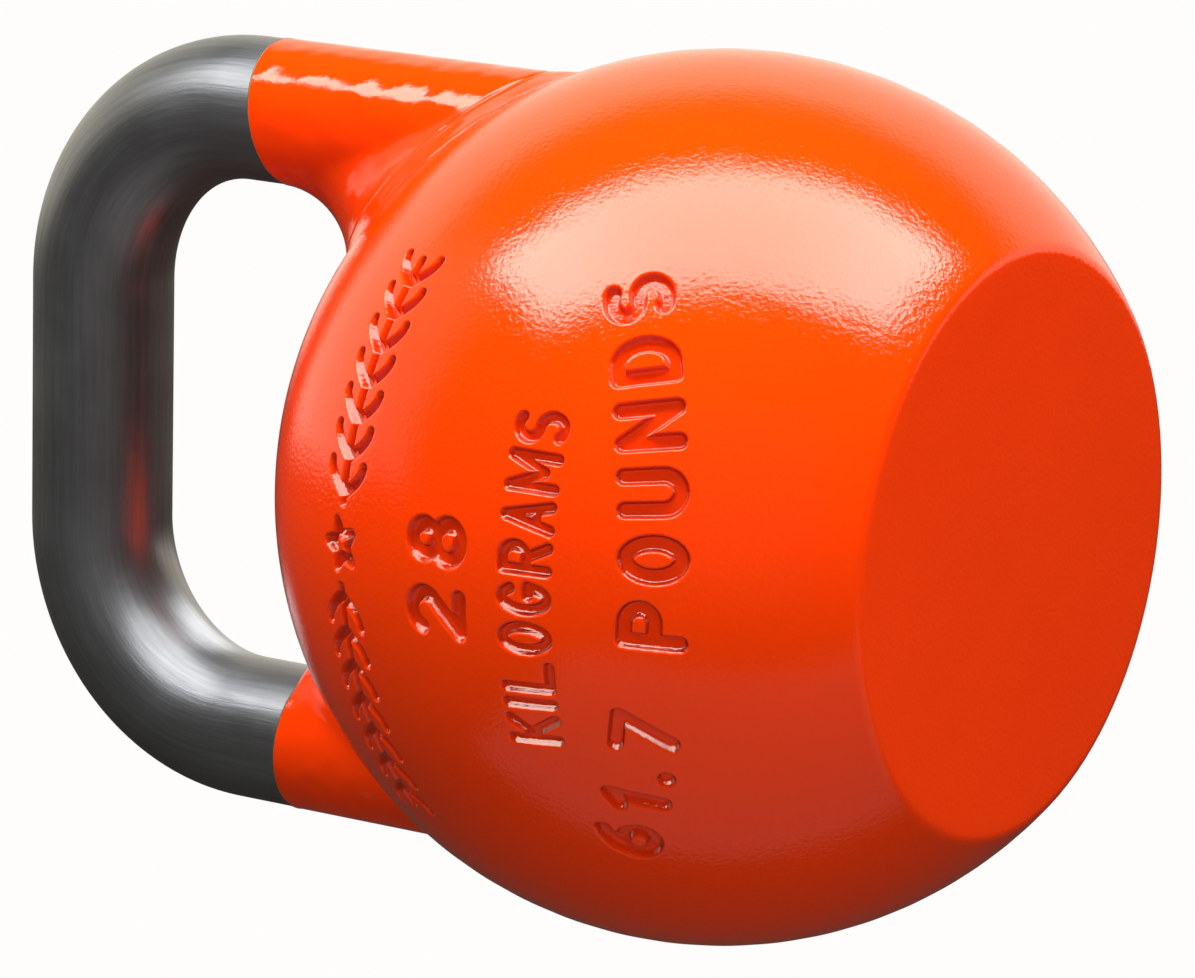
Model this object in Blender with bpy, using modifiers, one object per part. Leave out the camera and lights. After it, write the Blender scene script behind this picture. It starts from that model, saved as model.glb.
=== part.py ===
"""Competition kettlebell: a hollow cast steel ball, two flared horns and a bent steel grip bar.

The ball is a shell with a flat base.  A core port through the base lets the casting core and,
later, the ballast through, and a welded plug closes it.  Each horn stands on a radial spigot in
a seat in the ball, and a band of weld runs round its flared foot.  The grip bar drops into a
bore in each horn and is welded there.  The weld beads and the plug are ground flush.

Units are metres and +Z is up.  The origin is the centre of the flat base, the handle's loop lies
in the XZ plane, and the marked front of the ball faces -Y.
"""

from math import acos, asin, atan2, cos, pi, radians, sin, sqrt

import bmesh
import bpy
from mathutils import Matrix, Vector

# Overall sizes
BALL_RADIUS = 0.105
BASE_CUT = 0.0255
WINDOW_HEIGHT = 0.0605
HANDLE_WIDTH = 0.190

# Grip bar
BAR_RADIUS = 0.0175
BAR_BEND_RADIUS = 0.0475

# Ball shell
SHELL_WALL = 0.023
BASE_THICKNESS = 0.023
BASE_EDGE_RADIUS = 0.005

# Horns
HORN_FLARE_RADIUS = 0.026
HORN_FOOT_EDGE = 0.0039
BAR_JOINT_DROP = 0.0047
BORE_RADIUS = 0.009
BORE_DEPTH = 0.0145
SHOULDER_STEP = 0.0001
SEAT_RADIUS = 0.012
SEAT_DEPTH = 0.008
SEAT_LEAN = radians(4.57)

# Weld beads
BAR_GROOVE_HEIGHT = 0.004
BAR_GROOVE_DEPTH = 0.0055
FOOT_WELD_TOE = 0.0007
PLUG_GROOVE = 0.004

# Core port and its plug
PORT_RADIUS = 0.022
PLUG_FLANGE_RADIUS = 0.028
PLUG_FLANGE_HEIGHT = 0.009
PLUG_RECESS = 0.0003

# Fits
CLEARANCE = 0.0003

# Fineness of the faceted solids
BALL_STEPS = 48
BALL_UPPER_SEGMENTS = 14
BALL_LOWER_SEGMENTS = 8
CAVITY_STEPS = 36
CAVITY_ARC_SEGMENTS = 14
EDGE_ARC_SEGMENTS = 4
HORN_STATIONS = 36
FLARE_SEGMENTS = 12
FOOT_WELD_SEGMENTS = 3
FOOT_RINGS = 4
BEND_SEGMENTS = 10
BAR_BEVEL_RESOLUTION = 14
ROUND_STEPS = 32
MERGE_DISTANCE = 0.00001
SMOOTH_ANGLE = radians(35)

# Worked out from the sizes above
BALL_CENTRE_HEIGHT = BALL_RADIUS - BASE_CUT
BALL_CENTRE = Vector((0, 0, BALL_CENTRE_HEIGHT))
GRIP_HEIGHT = BALL_CENTRE_HEIGHT + BALL_RADIUS + WINDOW_HEIGHT + BAR_RADIUS
HORN_OFFSET = HANDLE_WIDTH / 2 - BAR_RADIUS
BAR_JOINT_HEIGHT = GRIP_HEIGHT - BAR_BEND_RADIUS - BAR_JOINT_DROP
JOINT = BAR_JOINT_HEIGHT - BALL_CENTRE_HEIGHT
SEAT_TILT = asin(HORN_OFFSET / BALL_RADIUS) - SEAT_LEAN
GROOVE_FOOT = JOINT - BAR_GROOVE_HEIGHT
CAVITY_RADIUS = BALL_RADIUS - SHELL_WALL
SIDES = {"left": pi, "right": 0.0}


def clear_scene():
    """Remove whatever the start-up file holds."""
    for obj in list(bpy.data.objects):
        bpy.data.objects.remove(obj, do_unlink=True)


def new_collection(name):
    """A collection linked to the scene."""
    collection = bpy.data.collections.new(name)
    bpy.context.scene.collection.children.link(collection)
    return collection


def new_material(name, colour, roughness, metallic):
    """A Principled material of one colour."""
    material = bpy.data.materials.new(name)
    material.use_nodes = True
    shader = material.node_tree.nodes["Principled BSDF"]
    shader.inputs["Base Color"].default_value = (*colour, 1)
    shader.inputs["Roughness"].default_value = roughness
    shader.inputs["Metallic"].default_value = metallic
    return material


def new_object(name, data, collection, material=None):
    """An object for this data, in the given collection."""
    obj = bpy.data.objects.new(name, data)
    collection.objects.link(obj)
    if material:
        data.materials.append(material)
    return obj


def shade_smooth(mesh):
    """Smooth shading that keeps the sharp edges."""
    mesh.shade_smooth()
    mesh.set_sharp_from_angle(angle=SMOOTH_ANGLE)


def arc(centre, radius, start, end, segments):
    """Points (r, z) on an arc, angles measured from the +r axis towards +z."""
    return [
        (
            centre[0] + radius * cos(start + (end - start) * i / segments),
            centre[1] + radius * sin(start + (end - start) * i / segments),
        )
        for i in range(segments + 1)
    ]


def turned(name, profile, closed, steps, collection, material):
    """A turned shape: a profile of (r, z) points, spun about Z by a Screw modifier."""
    mesh = bpy.data.meshes.new(name)
    count = len(profile)
    edges = [(i, (i + 1) % count) for i in range(count if closed else count - 1)]
    mesh.from_pydata([(r, 0, z) for r, z in profile], edges, [])
    obj = new_object(name, mesh, collection, material)
    screw = obj.modifiers.new("Turn", "SCREW")
    screw.axis = "Z"
    screw.steps = steps
    screw.render_steps = steps
    screw.use_merge_vertices = True
    screw.merge_threshold = MERGE_DISTANCE
    screw.use_smooth_shade = True
    return obj


def cylinder_mesh(name, radius, bottom, top, steps):
    """A closed cylinder along Z between two heights."""
    mesh = bpy.data.meshes.new(name)
    bm = bmesh.new()
    middle = Matrix.Translation((0, 0, (bottom + top) / 2))
    bmesh.ops.create_cone(
        bm,
        cap_ends=True,
        segments=steps,
        radius1=radius,
        radius2=radius,
        depth=top - bottom,
        matrix=middle,
    )
    bm.to_mesh(mesh)
    bm.free()
    return mesh


def ring_loft(name, rings, closed):
    """A mesh skinned over rings of points; an open loft is closed by a fan at each end.

    Twisted quads are split along their shorter diagonal, so that faces which meet stay parallel.
    """
    mesh = bpy.data.meshes.new(name)
    bm = bmesh.new()
    rows = [[bm.verts.new(point) for point in ring] for ring in rings]
    pairs = list(zip(rows, rows[1:]))
    if closed:
        pairs.append((rows[-1], rows[0]))
    for upper, lower in pairs:
        for i in range(len(upper)):
            j = (i + 1) % len(upper)
            bm.faces.new((upper[i], lower[i], lower[j], upper[j]))
    if not closed:
        for row, turn in ((rows[0], 1), (rows[-1], -1)):
            centre = bm.verts.new(sum((v.co for v in row), Vector()) / len(row))
            for i in range(len(row)):
                j = (i + 1) % len(row)
                bm.faces.new((row[i], row[j], centre)[::turn])
    bmesh.ops.triangulate(bm, faces=bm.faces, quad_method="SHORT_EDGE")
    bm.to_mesh(mesh)
    bm.free()
    shade_smooth(mesh)
    return mesh


def add_boolean(obj, other, operation):
    """Cut or join another closed mesh, with the exact solver."""
    boolean = obj.modifiers.new(operation.title(), "BOOLEAN")
    boolean.operation = operation
    boolean.solver = "EXACT"
    boolean.object = other


class Flare:
    """The horn's foot in one upright plane through the horn's axis.

    The plane makes `angle` with the way out from the ball's axis.  In it the ball is a circle
    about (-HORN_OFFSET * cos(angle), 0), and the flare is an arc that leaves the upright side
    of the horn and would end tangent to the ball.  Places are (r, z): r from the horn's axis
    and z from the height of the ball's centre.
    """

    def __init__(self, angle):
        self.across = HORN_OFFSET * sin(angle)
        self.shift = -HORN_OFFSET * cos(angle)
        self.ball = self.slice_radius(0)
        self.centre_r = BAR_RADIUS + HORN_FLARE_RADIUS
        self.reach = self.ball + HORN_FLARE_RADIUS
        self.centre_z = sqrt(self.reach**2 - (self.centre_r - self.shift) ** 2)
        self.tangent = atan2(self.centre_z, self.centre_r - self.shift)

    def slice_radius(self, height):
        """The radius in this plane of a sphere that lies `height` outside the ball."""
        return sqrt((BALL_RADIUS + height) ** 2 - self.across**2)

    def length_to(self, height):
        """The length of outline from the welding groove down to this height above the ball."""
        near = self.slice_radius(height)
        upright = GROOVE_FOOT - self.centre_z
        cosine = (self.reach**2 + HORN_FLARE_RADIUS**2 - near**2) / (
            2 * self.reach * HORN_FLARE_RADIUS
        )
        turn = self.tangent - acos(cosine)
        if turn > 0:
            return upright + HORN_FLARE_RADIUS * turn
        return GROOVE_FOOT - self.on_sphere(BAR_RADIUS, height)[1]

    def at(self, length):
        """The point of the outline this far below the welding groove."""
        turn = (length - GROOVE_FOOT + self.centre_z) / HORN_FLARE_RADIUS
        if turn <= 0:
            return BAR_RADIUS, GROOVE_FOOT - length
        return (
            self.centre_r - HORN_FLARE_RADIUS * cos(turn),
            self.centre_z - HORN_FLARE_RADIUS * sin(turn),
        )

    def stretch(self, start, end, segments):
        """Evenly spaced points of the outline between two lengths."""
        return [self.at(start + (end - start) * i / segments) for i in range(segments + 1)]

    def on_sphere(self, r, height):
        """The point at radius r on the sphere `height` outside the ball."""
        return r, sqrt(self.slice_radius(height) ** 2 - (r - self.shift) ** 2)

    def under(self, point, height):
        """The point below `point`, towards the ball's centre, on the sphere `height` outside it."""
        away = Vector((point[0] - self.shift, point[1])).normalized() * self.slice_radius(height)
        return self.shift + away.x, away.y


def horn_place(angle, point):
    """The world place of a point (r, z) in the right horn's plane at this angle."""
    r, z = point
    return HORN_OFFSET + r * cos(angle), r * sin(angle), BALL_CENTRE_HEIGHT + z


def horn_stations():
    """The angles of the horn's upright planes, each with its flare."""
    angles = [2 * pi * i / HORN_STATIONS for i in range(HORN_STATIONS)]
    return [(angle, Flare(angle)) for angle in angles]


def horn_profile(flare):
    """The points of the horn's outline in one plane, from the bore's floor to under the foot."""
    points = [
        (BORE_RADIUS, JOINT - BORE_DEPTH),
        (BORE_RADIUS, JOINT),
        (BAR_RADIUS - BAR_GROOVE_DEPTH, JOINT),
    ]
    points += flare.stretch(0, flare.length_to(HORN_FOOT_EDGE), FLARE_SEGMENTS)
    edge = flare.under(points[-1], CLEARANCE)
    points += [
        flare.on_sphere(edge[0] * (FOOT_RINGS - i) / FOOT_RINGS, CLEARANCE)
        for i in range(FOOT_RINGS)
    ]
    return points


def foot_weld_profile(flare):
    """The closed section of the foot weld in one plane: it carries the flare on down."""
    start = flare.length_to(HORN_FOOT_EDGE) + CLEARANCE
    face = flare.stretch(start, flare.length_to(FOOT_WELD_TOE), FOOT_WELD_SEGMENTS)
    root = [flare.under(point, CLEARANCE) for point in reversed(face)]
    return face + root


def loft_round_horn(name, profile_of, closed):
    """A mesh lofted round the right horn's axis through one profile in each plane."""
    stations = horn_stations()
    profiles = [profile_of(flare) for _, flare in stations]
    rings = [
        [horn_place(angle, profile[i]) for (angle, _), profile in zip(stations, profiles)]
        for i in range(len(profiles[0]))
    ]
    return ring_loft(name, rings, closed)


def seat_matrix(turn):
    """The frame of a horn's seat: its origin on the ball and its Z pointing away from it."""
    on_ball = Matrix.Rotation(turn, 4, "Z") @ Matrix.Rotation(SEAT_TILT, 4, "Y")
    return Matrix.Translation(BALL_CENTRE) @ on_ball @ Matrix.Translation((0, 0, BALL_RADIUS))


def build_ball(parts, cutters, paint):
    """The hollow ball with its flat base, its stepped core port and a seat for each horn."""
    centre = (0, BALL_CENTRE_HEIGHT)
    edge_r = sqrt(
        (BALL_RADIUS - BASE_EDGE_RADIUS) ** 2 - (BALL_CENTRE_HEIGHT - BASE_EDGE_RADIUS) ** 2
    )
    edge_angle = atan2(BASE_EDGE_RADIUS - BALL_CENTRE_HEIGHT, edge_r)
    outside = arc(centre, BALL_RADIUS, pi / 2, 0, BALL_UPPER_SEGMENTS)
    outside += arc(centre, BALL_RADIUS, 0, edge_angle, BALL_LOWER_SEGMENTS)[1:]
    edge = arc((edge_r, BASE_EDGE_RADIUS), BASE_EDGE_RADIUS, edge_angle, -pi / 2, EDGE_ARC_SEGMENTS)
    floor_angle = -atan2(
        BALL_CENTRE_HEIGHT - BASE_THICKNESS,
        sqrt(CAVITY_RADIUS**2 - (BALL_CENTRE_HEIGHT - BASE_THICKNESS) ** 2),
    )
    port = [
        (PLUG_FLANGE_RADIUS + PLUG_GROOVE, 0),
        (PLUG_FLANGE_RADIUS, PLUG_GROOVE),
        (PLUG_FLANGE_RADIUS, PLUG_FLANGE_HEIGHT),
        (PORT_RADIUS, PLUG_FLANGE_HEIGHT),
        (PORT_RADIUS, BASE_THICKNESS),
    ]
    inside = arc(centre, CAVITY_RADIUS, floor_angle, pi / 2, CAVITY_ARC_SEGMENTS)
    profile = outside + edge[1:] + port + inside
    shell = turned("ball_shell", profile, False, BALL_STEPS, parts, paint)
    for side, turn in SIDES.items():
        mesh = cylinder_mesh(f"{side}_seat", SEAT_RADIUS, -SEAT_DEPTH, SEAT_DEPTH, ROUND_STEPS)
        cutter = new_object(f"{side}_seat_cutter", mesh, cutters)
        cutter.matrix_world = seat_matrix(turn)
        add_boolean(shell, cutter, "DIFFERENCE")


def build_horns(parts, cutters, paint):
    """Two horns, each with a spigot for the ball's seat and a bore for the grip bar."""
    horn = loft_round_horn("horn", horn_profile, False)
    horn.materials.append(paint)
    spigot = cylinder_mesh(
        "horn_spigot",
        SEAT_RADIUS - CLEARANCE,
        CLEARANCE - SEAT_DEPTH,
        HORN_FOOT_EDGE,
        ROUND_STEPS,
    )
    for side, turn in SIDES.items():
        obj = new_object(f"{side}_horn", horn, parts)
        obj.rotation_euler.z = turn
        foot = new_object(f"{side}_horn_spigot", spigot, cutters)
        foot.matrix_world = seat_matrix(turn)
        add_boolean(obj, foot, "UNION")


def build_foot_welds(parts, paint):
    """The band of weld round each horn's foot."""
    weld = loft_round_horn("foot_weld", foot_weld_profile, True)
    weld.materials.append(paint)
    for side, turn in SIDES.items():
        new_object(f"{side}_foot_weld", weld, parts).rotation_euler.z = turn


def bar_route():
    """Centre-line points of half the bar with their radii, from the right spigot to the middle."""
    shoulder = BAR_JOINT_HEIGHT + CLEARANCE
    bend_height = GRIP_HEIGHT - BAR_BEND_RADIUS
    spigot_radius = BORE_RADIUS - CLEARANCE
    land = BAR_RADIUS - BAR_GROOVE_DEPTH
    ends = [
        (shoulder - BORE_DEPTH, spigot_radius),
        (shoulder, spigot_radius),
        (shoulder + SHOULDER_STEP, land),
        (shoulder + BAR_GROOVE_HEIGHT, BAR_RADIUS),
    ]
    route = [((HORN_OFFSET, z), radius) for z, radius in ends]
    bend_centre = (HORN_OFFSET - BAR_BEND_RADIUS, bend_height)
    bend = arc(bend_centre, BAR_BEND_RADIUS, 0, pi / 2, BEND_SEGMENTS)
    return route + [(point, BAR_RADIUS) for point in bend]


def build_grip_bar(parts, steel):
    """The bent round bar, with a turned-down spigot and a welding chamfer at each end."""
    half = bar_route()
    whole = half + [((-x, z), radius) for (x, z), radius in reversed(half)]
    curve = bpy.data.curves.new("grip_bar", "CURVE")
    curve.dimensions = "3D"
    curve.bevel_depth = BAR_RADIUS
    curve.bevel_resolution = BAR_BEVEL_RESOLUTION
    curve.use_fill_caps = True
    spline = curve.splines.new("POLY")
    spline.points.add(len(whole) - 1)
    for point, ((x, z), radius) in zip(spline.points, whole):
        point.co = (x, 0, z, 1)
        point.radius = radius / BAR_RADIUS
    spline.use_smooth = True
    new_object("grip_bar", curve, parts, steel)


def build_bar_welds(parts, steel):
    """The ring of weld that fills the groove between each horn and the bar, ground flush."""
    rise = BAR_GROOVE_HEIGHT * (1 - CLEARANCE / BAR_GROOVE_DEPTH) - CLEARANCE
    root = BAR_RADIUS - BAR_GROOVE_DEPTH + 2 * CLEARANCE
    root_rise = CLEARANCE / 2
    middle = CLEARANCE / 2
    profile = [
        (BAR_RADIUS, middle + rise),
        (BAR_RADIUS, middle - rise),
        (root, middle - root_rise),
        (root, middle + root_rise),
    ]
    for side, turn in SIDES.items():
        ring = turned(f"{side}_bar_weld", profile, True, ROUND_STEPS, parts, steel)
        ring.location = (HORN_OFFSET * cos(turn), 0, BAR_JOINT_HEIGHT)


def build_plug(parts, paint):
    """The stepped plug in the core port and the ring of weld round it."""
    flange = PLUG_FLANGE_RADIUS - CLEARANCE
    neck = PORT_RADIUS - CLEARANCE
    shoulder = PLUG_FLANGE_HEIGHT - CLEARANCE
    turned(
        "base_plug",
        [
            (0, BASE_THICKNESS),
            (neck, BASE_THICKNESS),
            (neck, shoulder),
            (flange, shoulder),
            (flange, PLUG_GROOVE),
            (flange - PLUG_GROOVE + PLUG_RECESS, PLUG_RECESS),
            (0, PLUG_RECESS),
        ],
        False,
        CAVITY_STEPS,
        parts,
        paint,
    )
    slant = CLEARANCE * sqrt(2)
    turned(
        "plug_weld",
        [
            (PLUG_FLANGE_RADIUS, PLUG_GROOVE - slant),
            (PLUG_FLANGE_RADIUS + PLUG_GROOVE - PLUG_RECESS - slant, PLUG_RECESS),
            (flange - PLUG_GROOVE + PLUG_RECESS + slant, PLUG_RECESS),
            (flange, PLUG_GROOVE - slant),
        ],
        True,
        CAVITY_STEPS,
        parts,
        paint,
    )


def build_ballast(parts, mortar):
    """The ballast that fills the ball's cavity, cast in through the core port."""
    radius = CAVITY_RADIUS - CLEARANCE
    floor = BASE_THICKNESS + CLEARANCE
    drop = BALL_CENTRE_HEIGHT - floor
    floor_angle = -atan2(drop, sqrt(radius**2 - drop**2))
    dome = arc((0, BALL_CENTRE_HEIGHT), radius, pi / 2, floor_angle, CAVITY_ARC_SEGMENTS)
    turned("ballast", dome + [(0, floor)], False, CAVITY_STEPS, parts, mortar)


def main():
    """Build every piece of the kettlebell."""
    clear_scene()
    parts = new_collection("kettlebell")
    cutters = new_collection("cutters")
    paint = new_material("orange_paint", (0.80, 0.10, 0.005), 0.22, 0.0)
    steel = new_material("brushed_steel", (0.42, 0.42, 0.41), 0.35, 1.0)
    mortar = new_material("ballast_mortar", (0.30, 0.28, 0.26), 0.9, 0.0)
    build_ball(parts, cutters, paint)
    build_horns(parts, cutters, paint)
    build_foot_welds(parts, paint)
    build_grip_bar(parts, steel)
    build_bar_welds(parts, steel)
    build_plug(parts, paint)
    build_ballast(parts, mortar)
    for cutter in cutters.objects:
        cutter.hide_render = True
        cutter.display_type = "WIRE"


main()
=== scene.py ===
"""Looks of a competition kettlebell: glossy orange paint, bare ground steel grip, debossed marks.

The ball, the two horns and the grip are fine meshes that stand for the faceted solids of the
frame.  The marks on the front are recesses in the ball's own mesh.  Lengths are in metres unless
a name ends in _mm, and the marked front of the ball faces -Y.
"""

import logging
from dataclasses import dataclass, field, replace
from enum import Enum
from math import acos, atan2, ceil, cos, degrees, pi, radians, sin, sqrt

import bmesh
import bpy
import numpy as np
from mathutils import Matrix, Vector


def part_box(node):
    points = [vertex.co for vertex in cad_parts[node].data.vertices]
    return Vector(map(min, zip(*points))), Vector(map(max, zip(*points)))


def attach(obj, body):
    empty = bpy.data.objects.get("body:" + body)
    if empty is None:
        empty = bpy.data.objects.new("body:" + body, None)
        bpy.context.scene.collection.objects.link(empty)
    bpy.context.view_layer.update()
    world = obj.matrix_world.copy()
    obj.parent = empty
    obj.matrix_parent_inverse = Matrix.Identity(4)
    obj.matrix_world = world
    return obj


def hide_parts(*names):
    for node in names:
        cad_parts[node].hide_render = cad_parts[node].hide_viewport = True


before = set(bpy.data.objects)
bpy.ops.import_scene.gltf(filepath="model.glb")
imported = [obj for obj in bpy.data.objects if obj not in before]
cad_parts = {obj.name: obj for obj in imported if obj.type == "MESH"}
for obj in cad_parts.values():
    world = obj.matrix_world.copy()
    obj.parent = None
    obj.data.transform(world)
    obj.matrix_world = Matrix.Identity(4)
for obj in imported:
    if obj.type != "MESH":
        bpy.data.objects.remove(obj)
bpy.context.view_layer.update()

log = logging.getLogger("kettlebell")

MM = 0.001
# the mesh attribute that carries painted shade on the walls of the marks' recesses
MARK_SHADE_ATTRIBUTE = "paint_pooled"
Point2 = tuple[float, float]
Stroke = list[Point2]


class Side(Enum):
    """The two horns, with the turn about Z that carries the right one to each."""

    LEFT = pi
    RIGHT = 0.0

    @property
    def label(self) -> str:
        """The side's name as the frame's nodes spell it."""
        return self.name.lower()


class Slot(Enum):
    """The record's material slots."""

    PAINT = "paint"
    STEEL = "bare_steel"
    BALLAST = "ballast"


# --------------------------------------------------------------------------------------------
# Materials


def linear(hex_colour: str) -> tuple[float, float, float, float]:
    """Turn an sRGB hex colour into linear RGBA.

    Args:
        hex_colour: six hex digits, such as "ff5a00".

    Returns:
        The colour as the shader wants it, with alpha 1.
    """
    channels = [int(hex_colour[i : i + 2], 16) / 255 for i in (0, 2, 4)]
    red, green, blue = (
        c / 12.92 if c <= 0.04045 else ((c + 0.055) / 1.055) ** 2.4 for c in channels
    )
    return red, green, blue, 1.0


def add_node(
    tree: bpy.types.NodeTree, kind: str, settings: dict[str, object] | None = None,
    links: dict[int | str, object] | None = None, values: dict[int | str, object] | None = None,
) -> bpy.types.Node:
    """Add a node with its settings, its unlinked values and its links.

    Args:
        tree: the node tree.
        kind: the node's type name, such as "ShaderNodeTexNoise".
        settings: attributes of the node.
        links: input socket to the output socket that feeds it.
        values: input socket to its default value.

    Returns:
        The new node.
    """
    node = tree.nodes.new(kind)
    for name, value in (settings or {}).items():
        setattr(node, name, value)
    for name, value in (values or {}).items():
        node.inputs[name].default_value = value
    for name, source in (links or {}).items():
        tree.links.new(source, node.inputs[name])
    return node


def new_tree(name: str) -> tuple[bpy.types.Material, bpy.types.NodeTree, bpy.types.Node]:
    """Make a node material.

    Args:
        name: the material's name.

    Returns:
        The material, its tree and its Principled shader.
    """
    material = bpy.data.materials.new(name)
    material.use_nodes = True
    tree = material.node_tree
    return material, tree, tree.nodes["Principled BSDF"]


@dataclass(frozen=True)
class SprayedEnamel:
    """Orange enamel, sprayed wet over cast steel: deep gloss with a fine orange peel."""

    name: str = "orange_sprayed_enamel"
    base: str = "ff3e00"
    shade: str = "f83a00"
    # painted shade: the darker colour laid on the walls of the debossed marks
    pooled: str = "b01e00"
    roughness: float = 0.05
    ior: float = 1.5
    drift_mm: float = 40.0
    peel_mm: float = 1.1
    peel_height_mm: float = 0.095
    wave_mm: float = 14.0
    wave_height_mm: float = 0.12

    def build(self) -> bpy.types.Material:
        """Make the material.

        Returns:
            A glossy paint whose highlights break up at their edges, as orange peel does.
        """
        material, tree, shader = new_tree(self.name)
        place = add_node(tree, "ShaderNodeTexCoord").outputs["Object"]
        drift, wave, peel = (
            add_node(
                tree, "ShaderNodeTexNoise", links={"Vector": place},
                values={"Scale": 1 / (size_mm * MM), "Detail": detail, "Roughness": rough},
            ).outputs["Fac"]
            for size_mm, detail, rough in (
                (self.drift_mm, 2.0, 0.5), (self.wave_mm, 1.0, 0.5), (self.peel_mm, 2.5, 0.55)
            )
        )
        colour = add_node(
            tree, "ShaderNodeMix", {"data_type": "RGBA"}, {0: drift},
            {6: linear(self.base), 7: linear(self.shade)},
        )
        # painted shade: a mesh attribute darkens the paint on the marks' recess walls, standing in
        # for their shade
        mark_shade_mask = add_node(tree, "ShaderNodeAttribute", {"attribute_name": MARK_SHADE_ATTRIBUTE})
        colour = add_node(
            tree, "ShaderNodeMix", {"data_type": "RGBA"},
            {0: mark_shade_mask.outputs["Fac"], 6: colour.outputs[2]}, {7: linear(self.pooled)},
        )
        swell = add_node(
            tree, "ShaderNodeBump", links={"Height": wave},
            values={"Strength": 1.0, "Distance": self.wave_height_mm * MM},
        )
        skin = add_node(
            tree, "ShaderNodeBump", links={"Height": peel, "Normal": swell.outputs["Normal"]},
            values={"Strength": 1.0, "Distance": self.peel_height_mm * MM},
        )
        tree.links.new(colour.outputs[2], shader.inputs["Base Color"])
        tree.links.new(skin.outputs["Normal"], shader.inputs["Normal"])
        shader.inputs["Roughness"].default_value = self.roughness
        shader.inputs["IOR"].default_value = self.ior
        return material


@dataclass(frozen=True)
class GroundSteel:
    """Mild steel bar, belt-ground along its length and left bare: satin, with long scratches."""

    base: str = "96989a"
    dull: str = "6a6c6f"
    metallic: float = 0.9
    roughness: float = 0.34
    blotch_mm: float = 22.0
    blotch_smoother: float = 0.05
    blotch_rougher: float = 0.08
    streak_mm: tuple[float, float] = (34.0, 1.5)
    scratch_mm: tuple[float, float] = (11.0, 0.6)
    streak_height_mm: float = 0.05

    def build(self) -> bpy.types.Material:
        """Make the material.

        Returns:
            A satin metal whose streaks run along the bar.
        """
        material, tree, shader = new_tree("ground_bare_steel")
        lengths = add_node(tree, "ShaderNodeUVMap", {"uv_map": "along_and_round"}).outputs["UV"]
        drawn_out = []
        for size_mm, detail in ((self.streak_mm, 4.0), (self.scratch_mm, 3.0)):
            scale = tuple(1 / (size * MM) for size in size_mm)
            along_bar = add_node(
                tree, "ShaderNodeMapping", links={"Vector": lengths}, values={"Scale": (*scale, 1)}
            )
            noise = add_node(
                tree, "ShaderNodeTexNoise", links={"Vector": along_bar.outputs["Vector"]},
                values={"Scale": 1.0, "Detail": detail, "Roughness": 0.6},
            )
            drawn_out.append(noise.outputs["Fac"])
        streaks, scratches = drawn_out
        blotches = add_node(
            tree, "ShaderNodeTexNoise",
            links={"Vector": add_node(tree, "ShaderNodeTexCoord").outputs["Object"]},
            values={"Scale": 1 / (self.blotch_mm * MM), "Detail": 4.0, "Roughness": 0.6},
        )
        colour = add_node(
            tree, "ShaderNodeMix", {"data_type": "RGBA"}, {0: streaks},
            {6: linear(self.base), 7: linear(self.dull)},
        )
        rough = add_node(
            tree, "ShaderNodeMapRange", links={0: blotches.outputs["Fac"]},
            values={
                1: 0.3,
                2: 0.7,
                3: self.roughness - self.blotch_smoother,
                4: self.roughness + self.blotch_rougher,
            },
        )
        grooves = add_node(tree, "ShaderNodeMath", {"operation": "ADD"}, {0: streaks, 1: scratches})
        bump = add_node(
            tree, "ShaderNodeBump", links={"Height": grooves.outputs[0]},
            values={"Strength": 1.0, "Distance": self.streak_height_mm * MM},
        )
        tree.links.new(colour.outputs[2], shader.inputs["Base Color"])
        tree.links.new(rough.outputs[0], shader.inputs["Roughness"])
        tree.links.new(bump.outputs["Normal"], shader.inputs["Normal"])
        shader.inputs["Metallic"].default_value = self.metallic
        return material


@dataclass(frozen=True)
class MaskedEdge:
    """The masked edge of the enamel, with polishing dirt in it: a dull grey-green hairline."""

    base: str = "3f4338"
    light: str = "5c6054"
    dirt_mm: float = 2.5
    roughness: float = 0.5

    def build(self) -> bpy.types.Material:
        """Make the material.

        Returns:
            A dull, slightly broken grey-green.
        """
        material, tree, shader = new_tree("masked_enamel_edge")
        dirt = add_node(
            tree, "ShaderNodeTexNoise",
            links={"Vector": add_node(tree, "ShaderNodeTexCoord").outputs["Object"]},
            values={"Scale": 1 / (self.dirt_mm * MM), "Detail": 2.0},
        )
        colour = add_node(
            tree, "ShaderNodeMix", {"data_type": "RGBA"}, {0: dirt.outputs["Fac"]},
            {6: linear(self.base), 7: linear(self.light)},
        )
        tree.links.new(colour.outputs[2], shader.inputs["Base Color"])
        shader.inputs["Roughness"].default_value = self.roughness
        return material


@dataclass(frozen=True)
class CastMortar:
    """Grit mortar, cast into the ball: matt, dark grey and speckled."""

    base: str = "312f2d"
    grit: str = "1f1e1d"
    grit_mm: float = 3.0
    roughness: float = 0.9

    def build(self) -> bpy.types.Material:
        """Make the material.

        Returns:
            A matt grey with specks of grit.
        """
        material, tree, shader = new_tree("cast_grit_mortar")
        place = add_node(tree, "ShaderNodeTexCoord").outputs["Object"]
        grit = add_node(
            tree, "ShaderNodeTexVoronoi", links={"Vector": place},
            values={"Scale": 1 / (self.grit_mm * MM)},
        )
        colour = add_node(
            tree, "ShaderNodeMix", {"data_type": "RGBA"}, {0: grit.outputs["Distance"]},
            {6: linear(self.grit), 7: linear(self.base)},
        )
        tree.links.new(colour.outputs[2], shader.inputs["Base Color"])
        shader.inputs["Roughness"].default_value = self.roughness
        return material


# --------------------------------------------------------------------------------------------
# Meshes


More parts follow.
